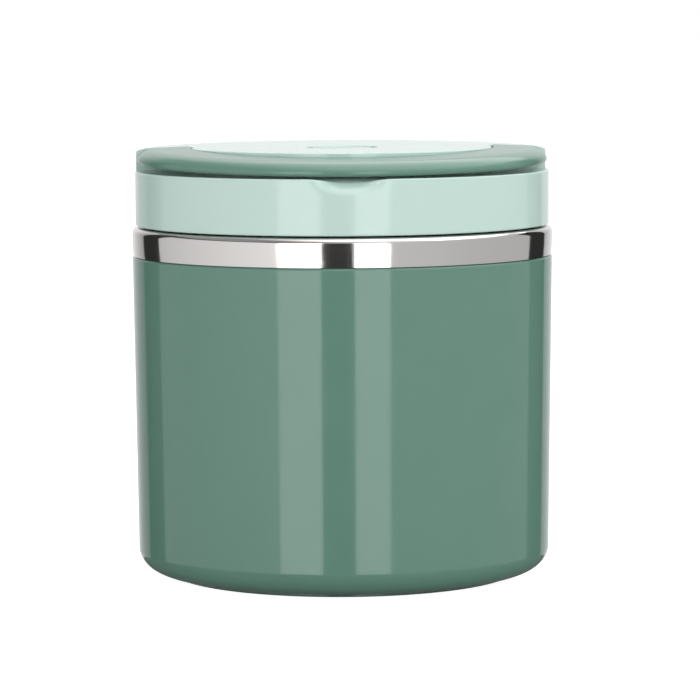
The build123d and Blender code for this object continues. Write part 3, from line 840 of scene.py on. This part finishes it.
class FOODJAR_OT_jacket(bpy.types.Operator):
    """Model the moulded jacket with its softened top edge and its tongue"""

    bl_idname = "food_jar.jacket"
    bl_label = "Jacket"

    def execute(self, context):
        top_r, foot_z, tongue_z = node_size("outer_shell")
        base_r, _, base_top_z = node_size("base_cover")
        top_z = node_size("steel_collar")[1] - COLLAR_SEAT
        foot_r, corner_z = top_r - JACKET_DRAFT, foot_z + CORNER_HEIGHT
        tongue_r, inner_r = top_r - TONGUE_STEP, top_r - JACKET_WALL
        floor_z = base_top_z + FLOOR_GAP
        hole_r = base_r - FLOOR_LEDGE
        corner = arc((foot_r - CORNER_WIDTH, corner_z), CORNER_WIDTH, CORNER_HEIGHT, -90, 0, 16)
        wall = [
            (foot_r + JACKET_DRAFT * share, corner_z + (top_z - corner_z) * share)
            for share in (0.02, 0.98)
        ]
        points = [
            *corner, *wall, (top_r, top_z), (tongue_r, top_z), (tongue_r, tongue_z),
            (inner_r, tongue_z), (inner_r, top_z), (inner_r - JACKET_DRAFT, corner_z),
            (inner_r - JACKET_DRAFT - CORNER_WIDTH / 2, floor_z), (hole_r, floor_z),
            (hole_r, floor_z - JACKET_FLOOR), (base_r + BASE_GAP, floor_z - JACKET_FLOOR),
            (base_r + BASE_GAP, foot_z), corner[0],
        ]
        corners = [
            ((top_r, top_z), settings().shape.jacket_edge / MM),
            ((tongue_r, tongue_z), TONGUE_EDGE), ((base_r + BASE_GAP, foot_z), HOLE_EDGE),
        ]
        finish_piece(lathe(points, corners), "jacket", "jacket_plastic", "jar", "outer_shell")
        return {"FINISHED"}


class FOODJAR_OT_foot(bpy.types.Operator):
    """Model the base plate with its foot ring"""

    bl_idname = "food_jar.foot"
    bl_label = "Foot"

    def execute(self, context):
        rim_r, _, top_z = node_size("base_cover")
        hole_r = rim_r - FLOOR_LEDGE - BASE_GAP
        rim_in_r = rim_r - FOOT_WIDTH
        points = [
            (0, FOOT_RECESS), (rim_in_r - FOOT_RECESS, FOOT_RECESS), (rim_in_r, 0), (rim_r, 0),
            (rim_r, FOOT_RIM), (hole_r, FOOT_RIM), (hole_r, top_z), (hole_r - BASE_PLATE, top_z),
            (hole_r - BASE_PLATE, FOOT_RECESS + BASE_PLATE), (0, FOOT_RECESS + BASE_PLATE),
        ]
        corners = [
            ((rim_in_r - FOOT_RECESS, FOOT_RECESS), RECESS_EDGE),
            ((rim_in_r, 0), FOOT_EDGE), ((rim_r, 0), FOOT_EDGE),
        ]
        finish_piece(lathe(points, corners), "foot_plate", "jacket_plastic", "jar", "base_cover")
        return {"FINISHED"}


class FOODJAR_OT_collar(bpy.types.Operator):
    """Model the spun steel collar with its rounded shoulder and rolled thread"""

    bl_idname = "food_jar.collar"
    bl_label = "Steel collar"

    def execute(self, context):
        collar_r, skirt_z, neck_top_z = node_size("steel_collar")
        top_z = node_size("lid_cover")[1] - LID_GAP
        neck_r = node_size("inner_pot")[0]
        bend = settings().shape.collar_bend / MM
        band_top_z = top_z - bend
        shoulder = arc((collar_r - bend, band_top_z), bend, bend, 0, 90, 14)
        band = [
            (collar_r - SKIRT_STEP * (1 - share) ** 2, skirt_z + share * (band_top_z - skirt_z))
            for share in (step / 8 for step in range(8))
        ]
        root = arc((neck_r + NECK_ROOT, top_z + NECK_ROOT), NECK_ROOT, NECK_ROOT, -90, -180, 6)
        draw_outline([*band, *shoulder, *root, (neck_r, neck_top_z)])
        spin_outline(ROUND_STEPS)
        bpy.ops.mesh.normals_make_consistent(inside=False)
        deselect()
        collar = bpy.context.object
        apply_modifier(collar, "SOLIDIFY", thickness=SHEET * MM, offset=-1, use_even_offset=True)
        choose(*self.ridges(neck_r), collar)
        bpy.ops.object.join()
        finish_piece(collar, "collar", "polished_steel", "jar", "steel_collar", angle=50)
        return {"FINISHED"}

    def ridges(self, neck_r):
        """Four rolled screw ridges with blunt ends."""
        half, crest = RIDGE_BASE / 2, RIDGE_CREST / 2
        start_z = node_size("lid_cover")[1] - LID_GAP + THREAD_RISE
        points = [
            (neck_r - RIDGE_ROOT, start_z - half), (neck_r, start_z - half),
            (neck_r + RIDGE_DEPTH, start_z - crest), (neck_r + RIDGE_DEPTH, start_z + crest),
            (neck_r, start_z + half), (neck_r - RIDGE_ROOT, start_z + half),
            (neck_r - RIDGE_ROOT, start_z - half),
        ]
        draw_outline(points)
        for place in points[2:4]:
            round_corner(place, RIDGE_EDGE, 4)
        deselect()
        first = bpy.context.object
        rise = THREAD_LEAD * RIDGE_ARC / 360 * MM
        steps = {"steps": RIDGE_STEPS, "render_steps": RIDGE_STEPS}
        apply_modifier(first, "SCREW", angle=radians(RIDGE_ARC), screw_offset=rise, **steps)
        bpy.ops.object.mode_set(mode="EDIT")
        merge_close()
        bpy.ops.mesh.select_non_manifold()
        bpy.ops.mesh.edge_face_add()
        ridges = [first]
        for start in range(1, THREAD_STARTS):
            choose(first)
            bpy.ops.object.duplicate()
            ridges.append(bpy.context.object)
            bpy.ops.object.mode_set(mode="EDIT")
            bpy.ops.mesh.select_all(action="SELECT")
            turn = start * 2 * pi / THREAD_STARTS
            bpy.ops.transform.rotate(value=turn, orient_axis="Z", center_override=(0, 0, 0))
        return ridges


def cut_skin(level, keep=None):
    """Cuts the edited skin at a distance behind the axis, and keeps its front, its rear or both."""
    bpy.ops.mesh.select_all(action="SELECT")
    drop = {"clear_outer": keep == "front", "clear_inner": keep == "rear"}
    bpy.ops.mesh.bisect(plane_co=(0, level * MM, 0), plane_no=(0, 1, 0), threshold=MERGE, **drop)


def smooth_step(value):
    """Eases a value from 0 to 1."""
    value = min(max(value, 0), 1)
    return value * value * (3 - 2 * value)


def displace_by(piece, weight_of, direction, strength):
    """Moves the vertices of a piece along an axis by a weight that depends on their place."""
    group = piece.vertex_groups.new(name="share")
    for vertex in piece.data.vertices:
        weight = weight_of(vertex.co / MM)
        if weight > 0:
            group.add([vertex.index], weight, "REPLACE")
    values = {"strength": strength * MM, "mid_level": 0, "vertex_group": group.name}
    apply_modifier(piece, "DISPLACE", direction=direction, **values)
    piece.vertex_groups.clear()


class FOODJAR_OT_lid(bpy.types.Operator):
    """Model the lid cover: drum, plateau, rear crown, finger notch and vent dish"""

    bl_idname = "food_jar.lid"
    bl_label = "Lid cover"

    def execute(self, context):
        lid_r, bottom_z, top_z = node_size("lid_cover")
        ledge_z = top_z - PLATEAU_RISE
        self.lid_r, self.ledge_z = lid_r, ledge_z
        plateau_r = lid_r - HANDLE_SEAT_WIDTH
        inner_r, face_top_z = lid_r - LID_WALL, top_z - REAR_CROWN_HEIGHT
        under_z, plate_z = ledge_z - LID_PLATE, top_z - PLATEAU_PLATE
        dish_r = node_size("vent_plug")[0] + VENT_FINGER_GAP
        dish_z, boss_z = top_z - VENT_DISH_DEPTH, plate_z - VENT_BOSS_DROP
        crown_r = lid_r - REAR_CROWN_WIDTH
        dish = [
            (plateau_r - HOLDING_RING, top_z), (dish_r + HOLDING_RING, top_z), (dish_r, top_z),
            (dish_r, dish_z), (VENT_GUIDE_R, dish_z),
        ]
        wall_rings = [(lid_r, ledge_z - 1 - SMOOTH_RING * ring) for ring in range(12, -1, -1)]
        ledge_rings = [(lid_r - 1 - SMOOTH_RING * ring, ledge_z) for ring in range(10)]
        foot = [(inner_r, bottom_z), (lid_r, bottom_z), *wall_rings]
        front = [*foot, (lid_r, ledge_z), *ledge_rings, (plateau_r, ledge_z), (plateau_r, top_z)]
        crown = arc((crown_r, face_top_z), REAR_CROWN_WIDTH, REAR_CROWN_HEIGHT, 0, 90, 14)
        seam = [(lid_r, ledge_z - LEDGE_EDGE)]
        rear = [*foot, *seam, *crown, (plateau_r, top_z), (plateau_r - PLATEAU_EDGE, top_z)]
        boss = [
            (VENT_GUIDE_R, dish_z), (VENT_GUIDE_R, boss_z), (dish_r + VENT_BOSS_LAP, boss_z),
            (dish_r + VENT_BOSS_LAP, plate_z), (plateau_r - LID_WALL, plate_z),
        ]
        chamfer = [(inner_r - NOTCH_BACKING, under_z), (inner_r, under_z - NOTCH_BACKING)]
        inner_front = [*boss, (plateau_r - LID_WALL, under_z), *chamfer, (inner_r, bottom_z)]
        inner_rear = [*boss, (inner_r, plate_z), chamfer[-1], (inner_r, bottom_z)]
        lower_edge = ((lid_r, bottom_z), LEDGE_EDGE)
        dish_edges = [((dish_r, top_z), DISH_EDGE), ((dish_r, dish_z), DISH_FLOOR_EDGE)]
        front_edges = [
            lower_edge, ((lid_r, ledge_z), LEDGE_EDGE), ((plateau_r, ledge_z), SEAT_EDGE),
            ((plateau_r, top_z), PLATEAU_EDGE), *dish_edges,
        ]
        wall_y, hollow_y = REAR_WALL_Y, REAR_WALL_Y + LID_WALL
        skins = []
        for points, corners, side, cut_y, seam_y in (
            ([*front, *dish], front_edges, "front", wall_y, hollow_y),
            ([*rear, *dish], [lower_edge, *dish_edges], "rear", wall_y, hollow_y),
            (inner_front, [], "front", hollow_y, wall_y),
            (inner_rear, [], "rear", hollow_y, wall_y),
        ):
            skins.insert(0, lathe(points, corners, LID_STEPS))
            cut_skin(cut_y, side)
            cut_skin(seam_y)
        choose(*skins)
        bpy.ops.object.join()
        lid = bpy.context.object
        bpy.ops.object.mode_set(mode="EDIT")
        merge_close()
        bpy.ops.mesh.select_mode(type="EDGE")
        bpy.ops.mesh.select_all(action="DESELECT")
        bpy.ops.mesh.select_non_manifold()
        bpy.ops.mesh.fill_holes(sides=0)
        bpy.ops.object.mode_set(mode="OBJECT")
        displace_by(lid, self.notch_drop, "Z", -NOTCH_DEPTH)
        displace_by(lid, self.notch_lean, "Y", NOTCH_LEAN)
        finish_piece(lid, "lid_shell", "lid_plastic", "lid", "lid_cover")
        return {"FINISHED"}

    def notch_across(self, place):
        """How much a place takes part in the finger notch, by its distance from the middle."""
        half_floor = NOTCH_FLOOR / 4
        reach = (NOTCH_WIDTH - half_floor) / 2
        outside = place.z > self.ledge_z - LEDGE_EDGE or place.xy.length > self.lid_r - 1
        if place.y > 0 or place.z > self.ledge_z + NEAR or not outside:
            return 0
        return 1 - smooth_step((abs(place.x) - half_floor) / reach)

    def notch_drop(self, place):
        """Share of the notch's depth that a place drops."""
        ledge_share = (place.xy.length - self.lid_r + NOTCH_REACH) / NOTCH_REACH
        wall_share = 1 - (self.ledge_z - place.z) / NOTCH_STRETCH
        return self.notch_across(place) * max(0, min(ledge_share, wall_share))

    def notch_lean(self, place):
        """Share of the notch's lean that rounds its lower lip."""
        edge_z = self.ledge_z - NOTCH_DEPTH * self.notch_across(place)
        ledge_share = (place.xy.length - self.lid_r + NOTCH_REACH) / NOTCH_REACH
        lip_share = smooth_step(1 - (edge_z - place.z) / NOTCH_LIP)
        return self.notch_across(place) * max(0, min(ledge_share, lip_share))


class FOODJAR_OT_handle(bpy.types.Operator):
    """Model the half-ring carry handle with its heels, pockets and pin bores"""

    bl_idname = "food_jar.handle"
    bl_label = "Carry handle"

    def execute(self, context):
        hinge = next(joint for joint in frame["joints"] if joint["name"] == "handle_fold")
        pivot_z = hinge["pos_m"][2] / MM
        out_r = node_size("handle")[0]
        lid_r, _, lid_top_z = node_size("lid_cover")
        in_r = lid_r - HANDLE_SEAT_WIDTH + HANDLE_GAP
        top_z, low_z = pivot_z + HANDLE_ABOVE, pivot_z - HANDLE_BELOW
        pocket_in_r, pocket_out_r = in_r + POCKET_WALL_IN, out_r - POCKET_WALL_OUT
        middle = (out_r - HANDLE_CROWN_WIDTH, top_z - HANDLE_FALL - HANDLE_CROWN_HEIGHT)
        crown = arc(middle, HANDLE_CROWN_WIDTH, HANDLE_CROWN_HEIGHT, 0, 90, 16)
        points = [
            *crown, (in_r + HOLDING_RING, top_z), (in_r, top_z), (in_r, low_z),
            (pocket_in_r, low_z), (pocket_out_r, low_z), (out_r, low_z), crown[0],
        ]
        draw_outline(points)
        round_corner((in_r, top_z), HANDLE_EDGE)
        round_corner((in_r, low_z), HANDLE_EDGE)
        round_corner((out_r, low_z), HANDLE_LOWER_EDGE)
        spin_outline(HANDLE_STEPS, pi)
        self.heels(low_z, top_z)
        self.pockets(low_z, pocket_in_r, pocket_out_r)
        bpy.ops.mesh.select_all(action="SELECT")
        bpy.ops.mesh.normals_make_consistent(inside=False)
        deselect()
        handle = bpy.context.object
        self.bore(handle, pivot_z)
        rest_drop = pivot_z - HANDLE_BELOW - lid_top_z + PLATEAU_RISE - REST_GAP
        tilt = asin(rest_drop / out_r)
        choose(handle)
        bpy.ops.object.mode_set(mode="EDIT")
        bpy.ops.mesh.select_all(action="SELECT")
        pivot = (0, 0, pivot_z * MM)
        bpy.ops.transform.rotate(value=-tilt, orient_axis="X", center_override=pivot)
        names = ("carry_handle", "jacket_plastic", "handle", "handle")
        finish_piece(handle, *names, finish="handle_plastic")
        return {"FINISHED"}

    def heels(self, low_z, top_z):
        """Lengthens both ends straight back and rounds them off."""
        straight = HEEL_LENGTH - HEEL_LOWER_EDGE
        done = 0
        for turn in range(7):
            level = straight + HEEL_LOWER_EDGE * sin(radians(15 * turn))
            select_where(lambda point: abs(point.y - done) < NEAR)
            step = (0, (level - done) * MM, 0)
            bpy.ops.mesh.extrude_region_move(TRANSFORM_OT_translate={"value": step})
            done = level
            lower_share = (level - straight) / HEEL_LOWER_EDGE
            upper_share = max(0, (level - HEEL_LENGTH + HEEL_TOP_EDGE) / HEEL_TOP_EDGE)
            self.flatten(done, low_z, HEEL_LOWER_EDGE, lower_share, -1)
            self.flatten(done, top_z, -HEEL_TOP_EDGE, upper_share, 1)
        for side in (-1, 1):
            select_where(lambda point: abs(point.y - done) < NEAR and point.x * side > 0)
            bpy.ops.mesh.edge_face_add()

    def flatten(self, end_y, edge_z, rounding, share, side):
        """Brings what lies beyond a rounded edge at the handle's ends back to its curve."""
        limit = edge_z + rounding * (1 - sqrt(max(0, 1 - share * share)))
        select_where(lambda point: abs(point.y - end_y) < NEAR and point.z * side > limit * side)
        bpy.ops.transform.resize(value=(1, 1, 0), center_override=(0, 0, limit * MM))

    def pockets(self, low_z, in_r, out_r):
        """Cores the underside with a row of pockets between ribs."""
        whole = POCKET_COUNT * POCKET_ARC + (POCKET_COUNT - 1) * POCKET_RIB
        for pocket in range(POCKET_COUNT):
            start = 90 - whole / 2 + pocket * (POCKET_ARC + POCKET_RIB)

            def in_pocket(point):
                turn = degrees(atan2(-point.y, point.x))
                flat = abs(point.z - low_z) < NEAR
                across = in_r - NEAR < point.xy.length < out_r + NEAR
                return flat and across and start - NEAR < turn < start + POCKET_ARC + NEAR

            select_where(in_pocket)
            step = (0, 0, POCKET_DEPTH * MM)
            bpy.ops.mesh.extrude_region_move(TRANSFORM_OT_translate={"value": step})

    def bore(self, handle, pivot_z):
        """Bores both heels for the pins."""
        deselect()
        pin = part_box("pivot_pin_right")[1]
        pin_end, pin_r = pin.x + BORE_SPARE * MM, pin.y + BORE_RUNNING * MM
        place = {"location": (0, 0, pivot_z * MM), "rotation": (0, pi / 2, 0)}
        bpy.ops.mesh.primitive_cylinder_add(vertices=48, radius=pin_r, depth=2 * pin_end, **place)
        cutter = bpy.context.object
        apply_modifier(handle, "BOOLEAN", operation="DIFFERENCE", object=cutter, solver="EXACT")
        bpy.data.objects.remove(cutter)


class FOODJAR_OT_vent(bpy.types.Operator):
    """Model the vent plug with its cap, stem and snap head"""

    bl_idname = "food_jar.vent"
    bl_label = "Vent plug"

    def execute(self, context):
        cap_r, foot_z, _ = node_size("vent_plug")
        top_z = node_size("lid_cover")[2]
        head_z = foot_z + VENT_FOOT
        under_z = top_z - VENT_CAP
        head_r = VENT_STEM_R + VENT_HEAD_LAP
        foot_r = VENT_STEM_R - VENT_SEAT_LAP - VENT_SLIP
        points = [
            (0, foot_z), (foot_r, foot_z), (foot_r, head_z), (head_r, head_z),
            (VENT_STEM_R, head_z + VENT_HEAD), (VENT_STEM_R, under_z), (cap_r, under_z),
            (cap_r, top_z), (cap_r - VENT_LIP, top_z), (cap_r - 2 * VENT_LIP, top_z - VENT_HOLLOW),
            (0, top_z - VENT_HOLLOW),
        ]
        corners = [
            ((foot_r, foot_z), VENT_EDGE), ((cap_r, under_z), VENT_EDGE),
            ((cap_r, top_z), VENT_RIM_EDGE),
            ((cap_r - VENT_LIP, top_z), VENT_LIP_EDGE),
            ((cap_r - 2 * VENT_LIP, top_z - VENT_HOLLOW), VENT_HOLLOW_EDGE),
        ]
        plug = lathe(points, corners, VENT_STEPS)
        finish_piece(plug, "vent_button", "vent_silicone", "vent", "vent_plug")
        return {"FINISHED"}


# ---- add-on
class FOODJAR_PT_sidebar(bpy.types.Panel):
    """Lists the jar's steps and its settings"""

    bl_idname = "FOODJAR_PT_sidebar"
    bl_label = "Food Jar"
    bl_space_type = "VIEW_3D"
    bl_region_type = "UI"
    bl_category = "Food Jar"

    def draw(self, context):
        layout = self.layout
        for step in STEPS:
            layout.operator(step.bl_idname)
        for group in (settings().colours, settings().shape, settings().studio):
            box = layout.box()
            for label in group.__annotations__:
                box.prop(group, label)


STEPS = (
    FOODJAR_OT_studio,
    FOODJAR_OT_finishes,
    FOODJAR_OT_jacket,
    FOODJAR_OT_foot,
    FOODJAR_OT_collar,
    FOODJAR_OT_lid,
    FOODJAR_OT_handle,
    FOODJAR_OT_vent,
)
GROUPS = (JarColours, JarShape, StudioSettings, FoodJarSettings)


def register():
    for item in (*GROUPS, *STEPS, FOODJAR_PT_sidebar):
        bpy.utils.register_class(item)
    bpy.types.Scene.food_jar = bpy.props.PointerProperty(type=FoodJarSettings)


def unregister():
    del bpy.types.Scene.food_jar
    for item in reversed((*GROUPS, *STEPS, FOODJAR_PT_sidebar)):
        bpy.utils.unregister_class(item)


def main():
    register()
    bpy.ops.food_jar.studio()
    bpy.ops.food_jar.finishes()
    bpy.ops.food_jar.jacket()
    bpy.ops.food_jar.foot()
    bpy.ops.food_jar.collar()
    bpy.ops.food_jar.lid()
    bpy.ops.food_jar.handle()
    bpy.ops.food_jar.vent()
    bpy.context.view_layer.update()


if __name__ == "__main__":
    main()
